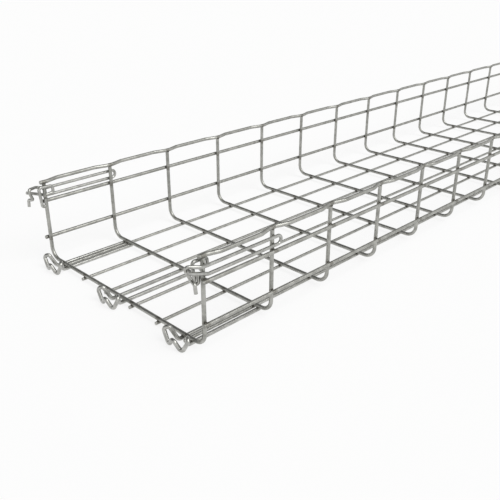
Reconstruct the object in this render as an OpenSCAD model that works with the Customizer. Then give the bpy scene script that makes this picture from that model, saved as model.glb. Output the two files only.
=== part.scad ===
// Wire mesh cable basket: one 3 m length, open at the top and at both ends.
// Bent cross wires carry six floor wires, two side wires a wall and a waved rim wire a wall.
// Bent connector wires are welded to one end, to hook onto the next length.
// Dimensions in millimetres. X is across, Y along, Z up.

/* [Length and width] */
// Length from the first cross wire to the last
length = 3000; // [300:100:3000]
// Spacing of the cross wires along the length, rounded to share the length equally
cross_pitch = 100; // [90:5:120]
// Number of floor wires across the width
floor_wires = 6; // [4:1:8]
// Spacing of the floor wires
floor_pitch = 50; // [46:1:60]
// Free length of every long wire past the end cross wires
stub = 5; // [4:0.5:8]

/* [Walls] */
// Height of the lower side wire above the floor run of a cross wire
side_low = 28; // [26:1:34]
// Rise from the lower side wire to the upper one
side_rise = 50; // [46:1:56]
// Rise from the upper side wire to the rim wire
rim_rise = 27; // [26:1:34]
// Inside bend radius of the cross wires at the foot of the walls
corner_radius = 12.5; // [8:0.5:16]
// Room between the outermost floor wires and the walls, centre to inner face
edge_room = 25.5; // [24:0.5:32]

/* [Wires] */
// Diameter of the cross wires
cross_wire = 4.8; // [4:0.1:6]
// Diameter of the floor wires
floor_wire = 3.9; // [3.5:0.1:5]
// Diameter of the side wires and rim wires
side_wire = 4.8; // [4:0.1:6]
// Depth that two welded wires melt into each other
weld_sink = 0.3; // [0.2:0.05:0.6]

/* [Rim wave] */
// Outward step of the rim wire between two cross wires
wave_step = 4.5; // [2:0.25:6]
// Straight length of rim wire resting on a cross wire
wave_rest = 10; // [8:0.5:14]
// Length of the slope from the rest to the outer run
wave_ramp = 16; // [12:0.5:20]

/* [Floor connectors] */
// Diameter of the floor connector wire
floor_hook_wire = 4.8; // [4:0.1:5.2]
// Spacing of the two legs of a floor connector
leg_spacing = 15; // [14:0.5:17]
// Length that the legs run past the second cross wire
leg_overrun = 2; // [1:0.5:6]

/* [Top connectors] */
// Diameter of the top connector wire and of the latch wire behind it
top_hook_wire = 3.9; // [3.5:0.1:4.2]
// Height of the lower leg of a top connector above the upper side wire
top_leg_gap = 7.2; // [6.5:0.1:9]
// Spacing of the two legs of a top connector
top_leg_spacing = 9.8; // [9.5:0.1:11]

/* [View] */
// Piece to show

/* [Hidden] */
$fn = 48;
pitches = round(length / cross_pitch);
pitch = length / pitches;
half_inner = (floor_wires - 1) * floor_pitch / 2 + edge_room;
wall_x = half_inner + cross_wire / 2;
side_high = side_low + side_rise;
rim_height = side_high + rim_rise;
floor_z = -(cross_wire + floor_wire) / 2 + weld_sink;
side_x = wall_x + (cross_wire + side_wire) / 2 - weld_sink;
bend = corner_radius + cross_wire / 2;
wave_bend = 12;
// Bends and straight runs share this length, and bends are this much thicker
overlap = 0.1;
swell = 0.02;
arc_steps = 48;

sides = ["left", "right"];
connector_places = ["left", "middle", "right"];
connector_x = (floor_wires - 1) * floor_pitch / 2;

steel = [0.70, 0.71, 0.72];
bright_steel = [0.78, 0.79, 0.80];

function two_digits(n) = n < 10 ? str("0", n) : str(n);
function cross_name(i) = str("cross_wire_", two_digits(i + 1));
function floor_name(i) = str("floor_wire_", i + 1);
function side_name(s, level) = str("side_wire_", sides[s], "_", level == 0 ? "low" : "high");
function rim_name(s) = str("rim_wire_", sides[s]);
function floor_connector_name(i) = str("floor_connector_", connector_places[i]);
function top_connector_name(s) = str("top_connector_", sides[s]);
function top_latch_name(s) = str("top_latch_", sides[s]);

// Floor connector: two legs under the cross wires, joined by a head shaped like an M.
// Corners of the head: half width, reach in front of the first cross wire, height above the legs
leg_z = -(cross_wire + floor_hook_wire) / 2 + weld_sink;
leg_root = 7;
shoulder = [15, 12.5, 15.5];
lobe = [20.6, 16.5, 13.5];
tip = [10.5, 17.5, -3.4];
notch = [2, 20.3, 8];
head_corners = [shoulder, lobe, tip, notch];
half_hook = concat(
    [[leg_spacing / 2, pitch + leg_overrun, leg_z], [leg_spacing / 2, -leg_root, leg_z]],
    [for (c = head_corners) [c[0], -c[1], leg_z + c[2]]]
);
half_hook_bends = [0, 5, 3.2, 3.4, 4, 3];
last_half = len(half_hook) - 1;
hook_path = concat(
    [for (p = half_hook) [-p[0], p[1], p[2]]],
    [for (i = [last_half:-1:0]) half_hook[i]]
);
hook_bends = concat(half_hook_bends, [for (i = [last_half:-1:0]) half_hook_bends[i]]);

// Top connector of the right wall: a long U outside the wall, its legs run on to the front.
// Corners in front: outward of the legs, reach in front of the first cross wire, height
// above the leg that they belong to
top_leg_x = wall_x + (cross_wire + top_hook_wire) / 2 - weld_sink;
top_leg_low = side_high + top_leg_gap;
top_leg_high = top_leg_low + top_leg_spacing;
leg_turn = 4;
arm_bulge = [3.5, 8, 2.8];
arm_corner = [-5.7, 23, 5];
catch_heel = [-2.5, 16.5, -10.5];
catch_knee = [5.3, 18.6, -12];
catch_end = [6.6, 18.6, -21.2];
stub_end = [0.3, 22.5, 9.6];
u_radius = top_leg_spacing / 2 - overlap;
top_path = concat(
    [for (c = [catch_end, catch_knee, catch_heel, arm_corner, arm_bulge])
        [top_leg_x + c[0], -c[1], top_leg_high + c[2]]],
    [[top_leg_x, leg_turn, top_leg_high], [top_leg_x, pitch + top_leg_spacing, top_leg_high],
     [top_leg_x, pitch + top_leg_spacing, top_leg_low], [top_leg_x, leg_turn, top_leg_low],
     [top_leg_x + stub_end[0], -stub_end[1], top_leg_low + stub_end[2]]]
);
top_bends = [0, 2.6, 2.6, 3, 6, 8, u_radius, u_radius, 8, 0];

// Top latch of the right wall: a flat wire spring inside the wall, welded to the first cross
// wire. Corners: reach in front of the first cross wire, height above the lower leg
latch_x = wall_x - (cross_wire + top_hook_wire) / 2 + weld_sink;
latch_corners = [
    [0.5, 3.7], [-10, 5], [-9, 13.8], [10, 14.8], [7.6, -11.2], [2.6, -11.2], [2.2, -0.7]
];
latch_path = [for (c = latch_corners) [latch_x, -c[0], top_leg_low + c[1]]];
latch_bends = [0, 3.2, 3.2, 3.2, 2.4, 2.4, 0];

function unit(v) = v / norm(v);
function heading(p, i) = unit(p[i + 1] - p[i]);
function turn(p, i) = acos(min(1, heading(p, i - 1) * heading(p, i)));
function setback(p, r, i) = i == 0 || i == len(p) - 1 ? 0 : r[i] * tan(turn(p, i) / 2);

// Lower side of a wire along an axis, where its centre is at q and it runs along t
function side_at(q, t, d, axis) = q[axis] - d / 2 * sqrt(max(0, 1 - t[axis] * t[axis]));
function bend_side(p, r, i, d, axis) = let (
    u = heading(p, i - 1),
    w = heading(p, i),
    inward = unit(w - (w * u) * u),
    centre = p[i] - u * setback(p, r, i) + inward * r[i]
) min([for (k = [0:arc_steps]) let (a = turn(p, i) * k / arc_steps)
    side_at(centre + r[i] * (sin(a) * u - cos(a) * inward), cos(a) * u + sin(a) * inward, d, axis)]);
function wire_side(p, r, d, axis) = let (last = len(p) - 1) min(concat(
    [for (i = [1:last - 1]) bend_side(p, r, i, d, axis)],
    [side_at(p[0], heading(p, 0), d, axis), side_at(p[last], heading(p, last - 1), d, axis)]
));

// The origin is under the middle of the whole basket
front = min(wire_side(hook_path, hook_bends, floor_hook_wire, 1),
            wire_side(top_path, top_bends, top_hook_wire, 1));
back = length + stub;
middle_y = (front + back) / 2;
lowest = wire_side(hook_path, hook_bends, floor_hook_wire, 2);

// Places children with their X, Y and Z along the given directions
module placed(at, x, y, z) {
    multmatrix([
        [x[0], y[0], z[0], at[0]],
        [x[1], y[1], z[1], at[1]],
        [x[2], y[2], z[2], at[2]],
        [0, 0, 0, 1]
    ]) children();
}

// Straight length of round wire between two points
module rod(from, to, d) {
    z = unit(to - from);
    x = unit(cross(abs(z[2]) > 0.9 ? [1, 0, 0] : [0, 0, 1], z));
    placed(from, x, cross(z, x), z) cylinder(d = d, h = norm(to - from));
}

// Bend of radius r that leads from heading u to heading w at a corner
module elbow(corner, u, w, r, d) {
    inward = unit(w - (w * u) * u);
    reach = r * tan(acos(w * u) / 2);
    placed(corner - u * reach + inward * r, -inward, u, cross(u, inward))
        rotate_extrude(angle = acos(w * u)) translate([r, 0]) circle(d = d);
}

// Round wire of diameter d through the points p, with bend radius r[i] at corner i
module bent_wire(p, r, d) {
    last = len(p) - 1;
    for (i = [0:last - 1])
        rod(p[i] + heading(p, i) * (setback(p, r, i) - (i > 0 ? overlap : 0)),
            p[i + 1] - heading(p, i) * (setback(p, r, i + 1) - (i < last - 1 ? overlap : 0)), d);
    for (i = [1:last - 1]) elbow(p[i], heading(p, i - 1), heading(p, i), r[i], d + swell);
}

// Moves a piece from the first cross wire to the shared origin
module at_origin() {
    translate([0, -middle_y, -lowest]) children();
}

module cross_wire_piece(i) {
    y = i * pitch;
    top = rim_height - side_wire / 2 + weld_sink;
    color(steel) at_origin() bent_wire(
        [[-wall_x, y, top], [-wall_x, y, 0], [wall_x, y, 0], [wall_x, y, top]],
        [0, bend, bend, 0], cross_wire);
}

module floor_wire_piece(i) {
    x = (i - (floor_wires - 1) / 2) * floor_pitch;
    color(steel) at_origin() rod([x, -stub, floor_z], [x, length + stub, floor_z], floor_wire);
}

module side_wire_piece(s, level) {
    x = (2 * s - 1) * side_x;
    z = level == 0 ? side_low : side_high;
    color(steel) at_origin() rod([x, -stub, z], [x, length + stub, z], side_wire);
}

module rim_wire_piece(s) {
    x = (2 * s - 1) * wall_x;
    outer = (2 * s - 1) * (wall_x + wave_step);
    rest = wave_rest / 2;
    far = rest + wave_ramp;
    waves = [for (i = [0:pitches - 1]) for (p = [
        [x, i * pitch + rest], [outer, i * pitch + far],
        [outer, (i + 1) * pitch - far], [x, (i + 1) * pitch - rest]
    ]) [p[0], p[1], rim_height]];
    path = concat([[x, -stub, rim_height]], waves, [[x, length + stub, rim_height]]);
    color(steel) at_origin() bent_wire(path, [for (p = path) wave_bend], side_wire);
}

module floor_connector(i) {
    x = (i - 1) * connector_x;
    color(bright_steel) at_origin() translate([x, 0, 0])
        bent_wire(hook_path, hook_bends, floor_hook_wire);
}

module top_connector(s) {
    color(bright_steel) at_origin() mirror([1 - s, 0, 0])
        bent_wire(top_path, top_bends, top_hook_wire);
}

module top_latch(s) {
    color(bright_steel) at_origin() mirror([1 - s, 0, 0])
        bent_wire(latch_path, latch_bends, top_hook_wire);
}

for (i = [0:pitches]) cross_wire_piece(i);
for (i = [0:floor_wires - 1]) floor_wire_piece(i);
for (s = [0:1]) for (level = [0:1])
    side_wire_piece(s, level);
for (s = [0:1]) rim_wire_piece(s);
for (i = [0:2]) floor_connector(i);
for (s = [0:1]) top_connector(s);
for (s = [0:1]) top_latch(s);
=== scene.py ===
"""Dresses the wire mesh cable basket: zinc finish, weld marks, light and camera.

The wires themselves are the CAD nodes. This file gives them their finish and adds the lumps
that resistance welding leaves where they cross. Everything is in metres, in the frame of the
CAD part: X across, Y along the basket away from the connectors, Z up.
"""

import logging
import math
import random
from dataclasses import dataclass, field
from enum import Enum
from typing import Any, Iterable, Sequence

import bmesh
import bpy
from mathutils import Matrix, Vector


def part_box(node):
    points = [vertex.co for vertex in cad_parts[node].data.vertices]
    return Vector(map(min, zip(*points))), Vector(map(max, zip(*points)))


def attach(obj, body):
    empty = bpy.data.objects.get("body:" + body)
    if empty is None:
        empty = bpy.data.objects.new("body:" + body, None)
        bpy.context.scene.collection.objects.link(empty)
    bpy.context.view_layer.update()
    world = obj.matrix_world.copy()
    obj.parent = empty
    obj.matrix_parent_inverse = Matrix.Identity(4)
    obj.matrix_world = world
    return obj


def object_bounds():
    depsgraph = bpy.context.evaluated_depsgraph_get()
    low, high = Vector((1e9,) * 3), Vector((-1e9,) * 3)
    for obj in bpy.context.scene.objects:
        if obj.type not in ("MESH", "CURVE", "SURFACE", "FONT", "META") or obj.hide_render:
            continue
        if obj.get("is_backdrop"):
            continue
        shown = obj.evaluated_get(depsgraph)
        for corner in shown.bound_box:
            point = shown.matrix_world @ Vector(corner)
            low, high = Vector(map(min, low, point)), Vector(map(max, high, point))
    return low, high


log = logging.getLogger("basket")

MM = 0.001
BODY = "root"
WHITE = (1.0, 1.0, 1.0, 1.0)

# Colour sockets of a Mix node, which share their names with its number and vector sockets
MIX_FACTOR, MIX_FIRST, MIX_SECOND, MIX_RESULT = 0, 6, 7, 2

# Step longer than the basket is wide or high, for a weld that doesn't repeat
NO_REPEAT = 1.0

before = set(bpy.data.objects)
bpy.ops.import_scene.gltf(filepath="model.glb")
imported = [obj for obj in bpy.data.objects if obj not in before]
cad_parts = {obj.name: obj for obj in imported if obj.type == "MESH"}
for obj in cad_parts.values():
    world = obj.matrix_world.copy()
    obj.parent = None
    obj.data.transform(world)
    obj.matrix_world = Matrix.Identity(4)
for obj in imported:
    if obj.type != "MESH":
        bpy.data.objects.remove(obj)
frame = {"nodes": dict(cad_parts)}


# --------------------------------------------------------------------------- colour and nodes


def linear(hex_colour: str) -> tuple[float, float, float, float]:
    """Turns an sRGB hex colour into the linear RGBA that Blender's sockets take.

    Args:
        hex_colour: Colour written as "#RRGGBB".

    Returns:
        Linear red, green, blue and an alpha of 1.
    """
    values = [int(hex_colour[i : i + 2], 16) / 255 for i in (1, 3, 5)]
    curve = [v / 12.92 if v <= 0.04045 else ((v + 0.055) / 1.055) ** 2.4 for v in values]
    return curve[0], curve[1], curve[2], 1.0


def per_metre(size_mm: float) -> float:
    """Works out the scale of a noise from the size of its features.

    Args:
        size_mm: Size of the features in millimetres.

    Returns:
        Scale of the noise in metre coordinates.
    """
    return 1.0 / (size_mm * MM)


def add_node(
    tree: bpy.types.NodeTree,
    kind: str,
    settings: dict[str, Any] | None = None,
    values: dict[str | int, Any] | None = None,
    links: dict[str | int, bpy.types.NodeSocket] | None = None,
) -> bpy.types.Node:
    """Adds one shader node with its settings, socket values and incoming links.

    Args:
        tree: Node tree that takes the node.
        kind: Blender's type name of the node.
        settings: Attributes to set on the node.
        values: Default values of its inputs, by name or number.
        links: Sockets that feed its inputs, by name or number.

    Returns:
        The new node.
    """
    node = tree.nodes.new(kind)
    for name, value in (settings or {}).items():
        setattr(node, name, value)
    for key, value in (values or {}).items():
        node.inputs[key].default_value = value
    for key, socket in (links or {}).items():
        tree.links.new(socket, node.inputs[key])
    return node


def colour_ramp(
    tree: bpy.types.NodeTree,
    factor: bpy.types.NodeSocket,
    stops: Sequence[tuple[float, str]],
) -> bpy.types.NodeSocket:
    """Adds a ramp that blends two hex colours along a factor.

    Args:
        tree: Node tree that takes the ramp.
        factor: Socket that feeds the ramp.
        stops: Place and hex colour of its two ends.

    Returns:
        The ramp's colour socket.
    """
    node = add_node(tree, "ShaderNodeValToRGB", links={"Fac": factor})
    for element, (place, colour) in zip(node.color_ramp.elements, stops):
        element.position = place
        element.color = linear(colour)
    return node.outputs["Color"]


# --------------------------------------------------------------------------- finishes


class WeldRows(Enum):
    """Which of a wire's coordinates repeat its welds, for the painted shade and heat tint beside
    each weld.
    """

    ALONG = "welds repeat along the basket"
    ACROSS = "welds repeat across the basket and up its walls"
    NONE = "no regular welds"


@dataclass(frozen=True)
class ZincWire:
    """Zinc-plated drawn steel wire.

    A satin grey metal: zinc crystals and handling make faint cloudy patches about a
    centimetre across, fine grain dulls the gloss, and beside the welds of a regular row the
    zinc is painted darker: painted contact shade, partly a straw-grey tint where their heat
    went through the zinc.

    Attributes:
        name: Material name.
        light: Colour of the cleaner zinc.
        dull: Colour of the duller patches.
        heat_tint_and_shade: Colour of the painted shade beside a weld, partly heat-tinted zinc.
        roughness: Roughness of the zinc between its dull and clean patches.
        patch_mm: Size of the cloudy patches.
        grain_mm: Size of the plating grain, drawn coarser than the real 0.3 mm so that it shows.
        grain_depth_mm: Depth of the grain.
        grain_strength: Share of that depth that shows.
        patch_edges: Noise values at which the colour is fully dull and fully light.
        duller: Roughness that the dullest patches have above that.
        glossier: Roughness that the cleanest zinc has below that.
        tint_and_shade_core_mm: Distance from a weld to which its painted shade and tint is full.
        tint_and_shade_reach_mm: Distance from a weld at which its painted shade and tint ends.
        tint_and_shade_peak: Largest share of the painted shade and tint colour.
        welds: How the welds repeat on this wire.
    """

    name: str
    light: str = "#B4B4AF"
    dull: str = "#9A9A95"
    # Painted contact shade beside each weld, partly heat-tinted zinc
    heat_tint_and_shade: str = "#6F6C64"
    roughness: float = 0.42
    patch_mm: float = 9.0
    grain_mm: float = 1.6
    grain_depth_mm: float = 0.02
    grain_strength: float = 0.07
    patch_edges: tuple[float, float] = (0.36, 0.62)
    duller: float = 0.10
    glossier: float = 0.05
    tint_and_shade_core_mm: float = 2.0
    tint_and_shade_reach_mm: float = 5.0
    tint_and_shade_peak: float = 0.75
    welds: WeldRows = WeldRows.NONE

    def heat_tint_and_shade_mask(
        self, tree: bpy.types.NodeTree, place: bpy.types.NodeSocket, layout: "Layout"
    ) -> bpy.types.NodeSocket | None:
        """Builds the mask of the painted shade and heat tint: 1 beside each weld, fading within
        a few millimetres.

        Args:
            tree: Node tree of the material.
            place: Object coordinates.
            layout: Where the welds of the basket are.

        Returns:
            The mask, or None for a wire with no regular welds.
        """
        if self.welds is WeldRows.NONE:
            return None
        split = add_node(tree, "ShaderNodeSeparateXYZ", links={"Vector": place})
        if self.welds is WeldRows.ALONG:
            rows = [(split.outputs["Y"], layout.first_y, layout.pitch)]
        else:
            rows = [(split.outputs["X"], layout.floor_pitch / 2, layout.floor_pitch)]
            rows += [(split.outputs["Z"], z, NO_REPEAT) for z in layout.side_heights]
        masks = [self._row_mask(tree, *row) for row in rows]
        out = masks[0]
        for other in masks[1:]:
            out = add_node(
                tree, "ShaderNodeMath", {"operation": "MAXIMUM"}, links={0: out, 1: other}
            ).outputs[0]
        return out

    def _row_mask(
        self, tree: bpy.types.NodeTree, axis: bpy.types.NodeSocket, start: float, step: float
    ) -> bpy.types.NodeSocket:
        """Builds the painted shade and heat tint mask of one row of welds.

        Args:
            tree: Node tree of the material.
            axis: Coordinate along which the welds repeat.
            start: Place of the first weld.
            step: Spacing of the welds.

        Returns:
            The mask.
        """
        shifted = add_node(
            tree, "ShaderNodeMath", {"operation": "SUBTRACT"}, {1: start - step / 2}, {0: axis}
        )
        wrapped = add_node(
            tree, "ShaderNodeMath", {"operation": "FLOORED_MODULO"}, {1: step},
            {0: shifted.outputs[0]},
        )
        centred = add_node(
            tree, "ShaderNodeMath", {"operation": "SUBTRACT"}, {1: step / 2},
            {0: wrapped.outputs[0]},
        )
        distance = add_node(
            tree, "ShaderNodeMath", {"operation": "ABSOLUTE"}, links={0: centred.outputs[0]}
        )
        return add_node(
            tree, "ShaderNodeMapRange", {"interpolation_type": "SMOOTHSTEP"},
            {
                "From Min": self.tint_and_shade_core_mm * MM, "From Max": self.tint_and_shade_reach_mm * MM,
                "To Min": 1.0, "To Max": 0.0,
            },
            {"Value": distance.outputs[0]},
        ).outputs["Result"]

    def build(self, layout: "Layout") -> bpy.types.Material:
        """Builds the material.

        Args:
            layout: Where the welds of the basket are.

        Returns:
            The finished material.
        """
        material, tree, shader = blank_material(self.name)
        place = add_node(tree, "ShaderNodeTexCoord").outputs["Object"]
        patches = add_node(
            tree, "ShaderNodeTexNoise", {"noise_dimensions": "3D"},
            {"Scale": per_metre(self.patch_mm), "Detail": 4.0, "Roughness": 0.6},
            {"Vector": place},
        ).outputs["Fac"]
        grain = add_node(
            tree, "ShaderNodeTexNoise", {"noise_dimensions": "3D"},
            {"Scale": per_metre(self.grain_mm), "Detail": 3.0, "Roughness": 0.65},
            {"Vector": place},
        ).outputs["Fac"]
        dull_at, light_at = self.patch_edges
        colour = colour_ramp(tree, patches, [(dull_at, self.dull), (light_at, self.light)])
        # Painted shade beside each weld, partly heat tint: mixes the zinc towards the darker
        # colour near each crossing
        heat_tint_and_shade = self.heat_tint_and_shade_mask(tree, place, layout)
        if heat_tint_and_shade is not None:
            speckled = add_node(
                tree, "ShaderNodeMath", {"operation": "MULTIPLY"}, links={0: heat_tint_and_shade, 1: grain}
            ).outputs[0]
            strength = add_node(
                tree, "ShaderNodeMapRange", {},
                {"From Min": 0.15, "From Max": 0.6, "To Max": self.tint_and_shade_peak},
                {"Value": speckled},
            ).outputs["Result"]
            colour = add_node(
                tree, "ShaderNodeMix", {"data_type": "RGBA"}, {MIX_SECOND: linear(self.heat_tint_and_shade)},
                {MIX_FACTOR: strength, MIX_FIRST: colour},
            ).outputs[MIX_RESULT]
        rough = add_node(
            tree, "ShaderNodeMapRange", {},
            {
                "From Min": 0.3, "From Max": 0.7,
                "To Min": self.roughness + self.duller,
                "To Max": self.roughness - self.glossier,
            },
            {"Value": patches},
        ).outputs["Result"]
        bump = add_node(
            tree, "ShaderNodeBump", {},
            {"Strength": self.grain_strength, "Distance": self.grain_depth_mm * MM},
            {"Height": grain},
        ).outputs["Normal"]
        shader.inputs["Metallic"].default_value = 1.0
        tree.links.new(colour, shader.inputs["Base Color"])
        tree.links.new(rough, shader.inputs["Roughness"])
        tree.links.new(bump, shader.inputs["Normal"])
        return material


@dataclass(frozen=True)
class WeldCrustAndShade:
    """Burnt zinc and oxide on a resistance weld, with painted contact shade.

    A matt dark grey crust with lighter flecks, darker than the crust alone as painted
    shade, which reads as a dark dot at each crossing.

    Attributes:
        name: Material name.
        dark: Colour of the crust, darkened as painted contact shade.
        fleck: Colour of the flecks.
        metallic: Share of bare metal, below 1 because of the oxide.
        roughness: Roughness of the crust.
        fleck_mm: Size of the flecks.
        fleck_edges: Noise values at which the colour is fully dark and fully fleck.
        crust_depth_mm: Depth of the crust's pits.
        crust_strength: Share of that depth that shows.
    """

    name: str = "burnt zinc and painted shade at welds"
    # Painted contact shade: the crust is painted darker than burnt zinc alone, for the dark dot
    # at each crossing
    dark: str = "#45433F"
    fleck: str = "#85837C"
    metallic: float = 0.75
    roughness: float = 0.62
    fleck_mm: float = 0.9
    fleck_edges: tuple[float, float] = (0.42, 0.66)
    crust_depth_mm: float = 0.08
    crust_strength: float = 0.5

    def build(self) -> bpy.types.Material:
        """Builds the material.

        Returns:
            The finished material.
        """
        material, tree, shader = blank_material(self.name)
        place = add_node(tree, "ShaderNodeTexCoord").outputs["Object"]
        flecks = add_node(
            tree, "ShaderNodeTexNoise", {},
            {"Scale": per_metre(self.fleck_mm), "Detail": 5.0, "Roughness": 0.7},
            {"Vector": place},
        ).outputs["Fac"]
        dark_at, fleck_at = self.fleck_edges
        colour = colour_ramp(tree, flecks, [(dark_at, self.dark), (fleck_at, self.fleck)])
        bump = add_node(
            tree, "ShaderNodeBump", {},
            {"Strength": self.crust_strength, "Distance": self.crust_depth_mm * MM},
            {"Height": flecks},
        ).outputs["Normal"]
        shader.inputs["Metallic"].default_value = self.metallic
        shader.inputs["Roughness"].default_value = self.roughness
        tree.links.new(colour, shader.inputs["Base Color"])
        tree.links.new(bump, shader.inputs["Normal"])
        return material


@dataclass(frozen=True)
class StudioFloor:
    """Matt white painted board under the basket.

    It reads as a plain white ground, and the share of it that isn't plain white keeps the
    basket's soft shadow.

    Attributes:
        name: Material name.
        colour: Colour of the paint.
        roughness: Roughness of the paint.
        seen_share: Share of plain white in what the camera and the metal see of it.
    """

    name: str = "matt white board"
    colour: str = "#FAFAFA"
    roughness: float = 0.9
    seen_share: float = 0.82

    def build(self) -> bpy.types.Material:
        """Builds the material.

        Returns:
            The finished material.
        """
        material, tree, shader = blank_material(self.name)
        shader.inputs["Base Color"].default_value = linear(self.colour)
        shader.inputs["Roughness"].default_value = self.roughness
        shader.inputs["Specular IOR Level"].default_value = 0.0
        path = add_node(tree, "ShaderNodeLightPath")
        seen = path.outputs["Is Camera Ray"]
        for other in ("Is Glossy Ray", "Is Transmission Ray"):
            seen = add_node(
                tree, "ShaderNodeMath", {"operation": "MAXIMUM"},
                links={0: seen, 1: path.outputs[other]},
            ).outputs[0]
        share = add_node(
            tree, "ShaderNodeMath", {"operation": "MULTIPLY"}, {1: self.seen_share}, {0: seen}
        ).outputs[0]
        white = add_node(
            tree, "ShaderNodeEmission", {}, {"Color": WHITE, "Strength": 1.0}
        ).outputs["Emission"]
        mixed = add_node(
            tree, "ShaderNodeMixShader", links={0: share, 1: shader.outputs["BSDF"], 2: white}
        ).outputs["Shader"]
        out = next(n for n in tree.nodes if n.type == "OUTPUT_MATERIAL")
        tree.links.new(mixed, out.inputs["Surface"])
        return material


def blank_material(
    name: str,
) -> tuple[bpy.types.Material, bpy.types.NodeTree, bpy.types.Node]:
    """Makes an empty node material.

    Args:
        name: Material name.

    Returns:
        The material, its node tree and its Principled shader.
    """
    material = bpy.data.materials.new(name)
    material.use_nodes = True
    tree = material.node_tree
    tree.nodes.clear()
    shader = add_node(tree, "ShaderNodeBsdfPrincipled")
    add_node(tree, "ShaderNodeOutputMaterial", links={"Surface": shader.outputs["BSDF"]})
    return material, tree, shader


# --------------------------------------------------------------------------- layout


@dataclass(frozen=True)
class Layout:
    """Where the wires of the basket cross, read from the CAD nodes.

    Attributes:
        first_y: Place of the first cross wire along the basket.
        pitch: Spacing of the cross wires.
        crossings: Number of cross wires.
        floor_x: Places of the floor wires across the basket.
        floor_pitch: Spacing of the floor wires.
        wall_x: Centre of a cross wire's upright from the middle.
        run_z: Centre height of the floor runs of the cross wires.
        side_heights: Centre heights of the side wires.
        rim_z: Centre height of the rim wires.
        cross_radius: Radius of a cross wire.
        side_radius: Radius of a side or rim wire.
    """

    first_y: float
    pitch: float
    crossings: int
    floor_x: list[float]
    floor_pitch: float
    wall_x: float
    run_z: float
    side_heights: list[float]
    rim_z: float
    cross_radius: float
    side_radius: float

    @classmethod
    def from_nodes(cls, nodes: Iterable[str]) -> "Layout":
        """Reads the layout from the boxes of the CAD nodes.

        Args:
            nodes: Names of the CAD nodes.

        Returns:
            The layout in metres.
        """
        crosses = sorted(n for n in nodes if n.startswith("cross_wire_"))
        low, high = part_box(crosses[0])
        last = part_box(crosses[-1])
        radius = (high.y - low.y) / 2
        first_y, last_y = (low.y + high.y) / 2, (last[0].y + last[1].y) / 2
        floors = [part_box(n) for n in sorted(n for n in nodes if n.startswith("floor_wire_"))]
        floor_x = [(a.x + b.x) / 2 for a, b in floors]
        sides = [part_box(f"side_wire_right_{level}") for level in ("low", "high")]
        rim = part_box("rim_wire_right")
        return cls(
            first_y=first_y,
            pitch=(last_y - first_y) / (len(crosses) - 1),
            crossings=len(crosses),
            floor_x=floor_x,
            floor_pitch=floor_x[1] - floor_x[0],
            wall_x=high.x - radius,
            run_z=low.z + radius,
            side_heights=[(a.z + b.z) / 2 for a, b in sides],
            rim_z=(rim[0].z + rim[1].z) / 2,
            cross_radius=radius,
            side_radius=(sides[0][1].x - sides[0][0].x) / 2,
        )

    def rows(self) -> list[float]:
        """Places of all cross wires along the basket."""
        return [self.first_y + i * self.pitch for i in range(self.crossings)]


# --------------------------------------------------------------------------- pieces


@dataclass
class WeldMarks:
    """The small crusted lumps that resistance welding squeezes out where wires cross.

    Attributes:
        name: Name of the piece.
        across: Half width of a lump along each wire.
        depth: Half height of a lump from one wire to the other.
        uneven: Share by which a lump's skin wanders.
        smallest: Share of its size that the smallest lump has.
        largest: Share of its size that the largest lump has.
        seed: Start of the random numbers, so each run is the same.
        spots: Middle of each weld and the direction from one of its wires to the other.
    """

    name: str
    across: float = 2.3 * MM
    depth: float = 1.25 * MM
    uneven: float = 0.22
    smallest: float = 0.88
    largest: float = 1.1
    seed: int = 7
    spots: list[tuple[Vector, Vector]] = field(default_factory=list)

    def at(self, centre: Vector, normal: Vector) -> None:
        """Notes one weld.

        Args:
            centre: Middle of the weld.
            normal: Direction from one of its wires to the other.
        """
        self.spots.append((centre, normal.normalized()))

    def build(self, material: bpy.types.Material) -> bpy.types.Object:
        """Builds all noted welds as one mesh that rides on the basket.

        Args:
            material: Finish of the welds.

        Returns:
            The new object.
        """
        chance = random.Random(self.seed)
        mesh = bmesh.new()
        for centre, normal in self.spots:
            turn = normal.to_track_quat("Z", "Y").to_matrix().to_4x4()
            spin = Matrix.Rotation(chance.uniform(0, math.tau), 4, "Z")
            size = chance.uniform(self.smallest, self.largest)
            shape = Matrix.Diagonal((self.across * size, self.across * size, self.depth, 1.0))
            made = bmesh.ops.create_icosphere(mesh, subdivisions=2, radius=1.0)["verts"]
            for vertex in made:
                vertex.co *= 1.0 + chance.uniform(-self.uneven, self.uneven)
            bmesh.ops.transform(
                mesh, matrix=Matrix.Translation(centre) @ turn @ spin @ shape, verts=made
            )
        data = bpy.data.meshes.new(self.name)
        mesh.to_mesh(data)
        mesh.free()
        data.shade_smooth()
        piece = bpy.data.objects.new(self.name, data)
        bpy.context.scene.collection.objects.link(piece)
        data.materials.append(material)
        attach(piece, BODY)
        return piece


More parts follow.
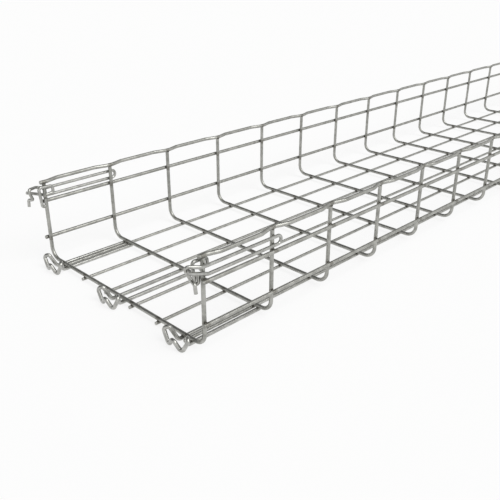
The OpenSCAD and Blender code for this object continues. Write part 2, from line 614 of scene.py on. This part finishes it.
@dataclass
class TrayWires:
    """The cross, floor, side and rim wires of the basket.

    Attributes:
        layout: Where the wires cross.
    """

    layout: Layout

    def dress(self, nodes: dict[str, bpy.types.Object]) -> None:
        """Gives each wire its finish.

        Args:
            nodes: The CAD nodes by name.
        """
        along = ZincWire("zinc-plated drawn wire, lengthwise", welds=WeldRows.ALONG)
        across = ZincWire("zinc-plated drawn wire, bent across", welds=WeldRows.ACROSS)
        made = {along: along.build(self.layout), across: across.build(self.layout)}
        for name, piece in nodes.items():
            if name.startswith(("floor_wire", "side_wire", "rim_wire")):
                set_finish(piece, made[along])
            elif name.startswith("cross_wire"):
                set_finish(piece, made[across])

    def weld(self, material: bpy.types.Material) -> list[bpy.types.Object]:
        """Builds the welds of the floor, of the walls and of the rims.

        Args:
            material: Finish of the welds.

        Returns:
            The new pieces.
        """
        floor = WeldMarks("floor_welds", seed=11)
        walls = WeldMarks("wall_welds", seed=12)
        rims = WeldMarks("rim_welds", across=2.6 * MM, depth=1.2 * MM, seed=13)
        lay = self.layout
        under_run = lay.run_z - lay.cross_radius
        under_rim = lay.rim_z - lay.side_radius
        outside = lay.wall_x + lay.cross_radius
        for y in lay.rows():
            for x in lay.floor_x:
                floor.at(Vector((x, y, under_run)), Vector((0, 0, 1)))
            for side in (-1, 1):
                for z in lay.side_heights:
                    walls.at(Vector((side * outside, y, z)), Vector((side, 0, 0)))
                rims.at(Vector((side * lay.wall_x, y, under_rim)), Vector((0, 0, 1)))
        return [marks.build(material) for marks in (floor, walls, rims)]


@dataclass
class Connectors:
    """The bent connector wires at the coupling end.

    Attributes:
        layout: Where the wires cross.
        leg_spacing: Spacing of a floor connector's legs.
        top_leg_gap: Height of a top connector's lower leg above the high side wire.
        top_leg_spacing: Height of its upper leg above the lower one.
        welded_rows: Number of cross wires that a connector is welded to.
        finish: Finish of the connector wire, brighter than the basket's own wire.
    """

    layout: Layout
    leg_spacing: float = 15.0 * MM
    top_leg_gap: float = 7.2 * MM
    top_leg_spacing: float = 9.8 * MM
    welded_rows: int = 2
    finish: ZincWire = ZincWire(
        "bright zinc-plated spring wire",
        light="#BCBCB8", dull="#A0A09C", roughness=0.30, patch_mm=7.0,
    )

    def dress(self, nodes: dict[str, bpy.types.Object]) -> None:
        """Gives each connector its finish.

        Args:
            nodes: The CAD nodes by name.
        """
        material = self.finish.build(self.layout)
        for name, piece in nodes.items():
            if name.startswith(("floor_connector", "top_")):
                set_finish(piece, material)

    def weld(self, material: bpy.types.Material) -> list[bpy.types.Object]:
        """Builds the welds between the connectors and the first cross wires.

        Args:
            material: Finish of the welds.

        Returns:
            The new pieces.
        """
        lay = self.layout
        marks = WeldMarks("connector_welds", seed=14)
        rows = lay.rows()[: self.welded_rows]
        under_run = lay.run_z - lay.cross_radius
        outside = lay.wall_x + lay.cross_radius
        for place in ("left", "middle", "right"):
            low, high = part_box(f"floor_connector_{place}")
            middle = (low.x + high.x) / 2
            for y in rows:
                for side in (-1, 1):
                    x = middle + side * self.leg_spacing / 2
                    marks.at(Vector((x, y, under_run)), Vector((0, 0, 1)))
        for side in (-1, 1):
            for z in self.top_leg_heights():
                for y in rows:
                    marks.at(Vector((side * outside, y, z)), Vector((side, 0, 0)))
        return [marks.build(material)]

    def top_leg_heights(self) -> tuple[float, float]:
        """Heights of the two legs of a top connector."""
        lower = self.layout.side_heights[1] + self.top_leg_gap
        return lower, lower + self.top_leg_spacing


def set_finish(piece: bpy.types.Object, material: bpy.types.Material) -> None:
    """Puts one material in all of a piece's slots, or in a new one.

    Args:
        piece: Object to dress.
        material: Finish that it gets.
    """
    if not piece.material_slots:
        piece.data.materials.append(material)
    for slot in piece.material_slots:
        slot.material = material


# --------------------------------------------------------------------------- studio


@dataclass
class Studio:
    """Floor, light and camera.

    Attributes:
        layout: Where the first cross wire is, which the camera is set out from.
        azimuth: Camera's turn from straight behind the connector end, in degrees.
        elevation: Camera's height angle in degrees.
        roll: Camera's roll in degrees.
        distance: From the camera to the point that it looks at.
        aim: That point from the middle of the first cross wire's floor run.
        lens: Focal length in millimetres.
        sensor: Width of the sensor in millimetres.
        sight: Distance that the camera sees to.
        floor_half: Half the width of the floor.
        floor_gap: Gap between the floor and the lowest wire.
        dark_side: Colour of the upper world on the left.
        light_side: Colour of the upper world on the right.
        foot: Colour of the world all round its foot.
        sun_energy: Strength of the sun.
        sun_angle: Width of the sun in degrees, which makes its shadows soft.
        sun_from: Direction that the sun shines from.
    """

    layout: Layout
    azimuth: float = 44.952
    elevation: float = 25.163
    roll: float = 0.093
    distance: float = 0.790
    aim: tuple[float, float, float] = (0.0934, 0.1258, 0.0497)
    lens: float = 47.704
    sensor: float = 36.0
    sight: float = 100.0
    floor_half: float = 40.0
    floor_gap: float = 0.05 * MM
    dark_side: str = "#5C5D5F"
    light_side: str = "#E4E4E2"
    foot: str = "#FBFBFB"
    sun_energy: float = 1.6
    sun_angle: float = 40.0
    sun_from: tuple[float, float, float] = (0.75, 0.15, 1.0)

    def set_camera(self) -> None:
        """Makes the camera and sets it as the scene's."""
        a, e = math.radians(self.azimuth), math.radians(self.elevation)
        back = Vector((math.sin(a) * math.cos(e), -math.cos(a) * math.cos(e), math.sin(e)))
        right = Vector((math.cos(a), math.sin(a), 0.0))
        up = back.cross(right)
        turn = Matrix((right, up, back)).transposed().to_4x4()
        anchor = Vector((0.0, self.layout.first_y, self.layout.run_z))
        place = anchor + Vector(self.aim) + back * self.distance
        data = bpy.data.cameras.new("camera")
        data.lens = self.lens
        data.sensor_width = self.sensor
        data.clip_end = self.sight
        camera = bpy.data.objects.new("camera", data)
        spin = Matrix.Rotation(math.radians(self.roll), 4, "Z")
        camera.matrix_world = Matrix.Translation(place) @ turn @ spin
        bpy.context.scene.collection.objects.link(camera)
        bpy.context.scene.camera = camera

    def set_floor(self) -> None:
        """Lays the floor under the basket."""
        mesh = bmesh.new()
        bmesh.ops.create_grid(mesh, x_segments=1, y_segments=1, size=self.floor_half)
        data = bpy.data.meshes.new("floor")
        mesh.to_mesh(data)
        mesh.free()
        floor = bpy.data.objects.new("floor", data)
        floor.location.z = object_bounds()[0][2] - self.floor_gap
        bpy.context.scene.collection.objects.link(floor)
        data.materials.append(StudioFloor().build())
        floor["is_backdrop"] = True

    def set_light(self) -> None:
        """Sets a soft sun from the right and a world that is white all round its foot.

        Above that white foot, the world is paler on the sun's side.
        """
        world = bpy.data.worlds.new("studio")
        bpy.context.scene.world = world
        world.use_nodes = True
        tree = world.node_tree
        tree.nodes.clear()
        direction = add_node(tree, "ShaderNodeTexCoord").outputs["Generated"]
        split = add_node(tree, "ShaderNodeSeparateXYZ", links={"Vector": direction})
        side = add_node(
            tree, "ShaderNodeMapRange", {"interpolation_type": "SMOOTHSTEP"},
            {"From Min": -0.8, "From Max": 0.7, "To Min": 0.0, "To Max": 1.0},
            {"Value": split.outputs["X"]},
        ).outputs["Result"]
        upper = colour_ramp(tree, side, [(0.0, self.dark_side), (1.0, self.light_side)])
        rise = add_node(
            tree, "ShaderNodeMapRange", {"interpolation_type": "SMOOTHSTEP"},
            {"From Min": 0.18, "From Max": 0.5, "To Min": 0.0, "To Max": 1.0},
            {"Value": split.outputs["Z"]},
        ).outputs["Result"]
        colour = add_node(
            tree, "ShaderNodeMix", {"data_type": "RGBA"}, {MIX_FIRST: linear(self.foot)},
            {MIX_FACTOR: rise, MIX_SECOND: upper},
        ).outputs[MIX_RESULT]
        background = add_node(
            tree, "ShaderNodeBackground", {}, {"Strength": 1.0}, {"Color": colour}
        )
        add_node(
            tree, "ShaderNodeOutputWorld", links={"Surface": background.outputs["Background"]}
        )
        sun = bpy.data.lights.new("soft sun", "SUN")
        sun.energy = self.sun_energy
        sun.angle = math.radians(self.sun_angle)
        lamp = bpy.data.objects.new("soft sun", sun)
        lamp.rotation_euler = Vector(self.sun_from).to_track_quat("Z", "Y").to_euler()
        bpy.context.scene.collection.objects.link(lamp)

    def build(self) -> None:
        """Builds the whole studio."""
        self.set_camera()
        self.set_floor()
        self.set_light()
        bpy.context.scene.view_settings.view_transform = "Standard"


def main() -> None:
    """Dresses the basket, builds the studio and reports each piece."""
    logging.basicConfig(level=logging.INFO, format="%(name)s: %(message)s")
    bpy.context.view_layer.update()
    nodes: dict[str, bpy.types.Object] = frame["nodes"]
    layout = Layout.from_nodes(nodes)
    Studio(layout).build()
    # Weld crust: partly burnt zinc, partly painted contact shade at each crossing
    scale = WeldCrustAndShade().build()
    tray = TrayWires(layout)
    tray.dress(nodes)
    connectors = Connectors(layout)
    connectors.dress(nodes)
    for name, wire in nodes.items():
        log.info("%s: %s", name, wire.material_slots[0].material.name)
    for piece in tray.weld(scale) + connectors.weld(scale):
        log.info("%s: %d faces", piece.name, len(piece.data.polygons))


if __name__ == "__main__":
    main()
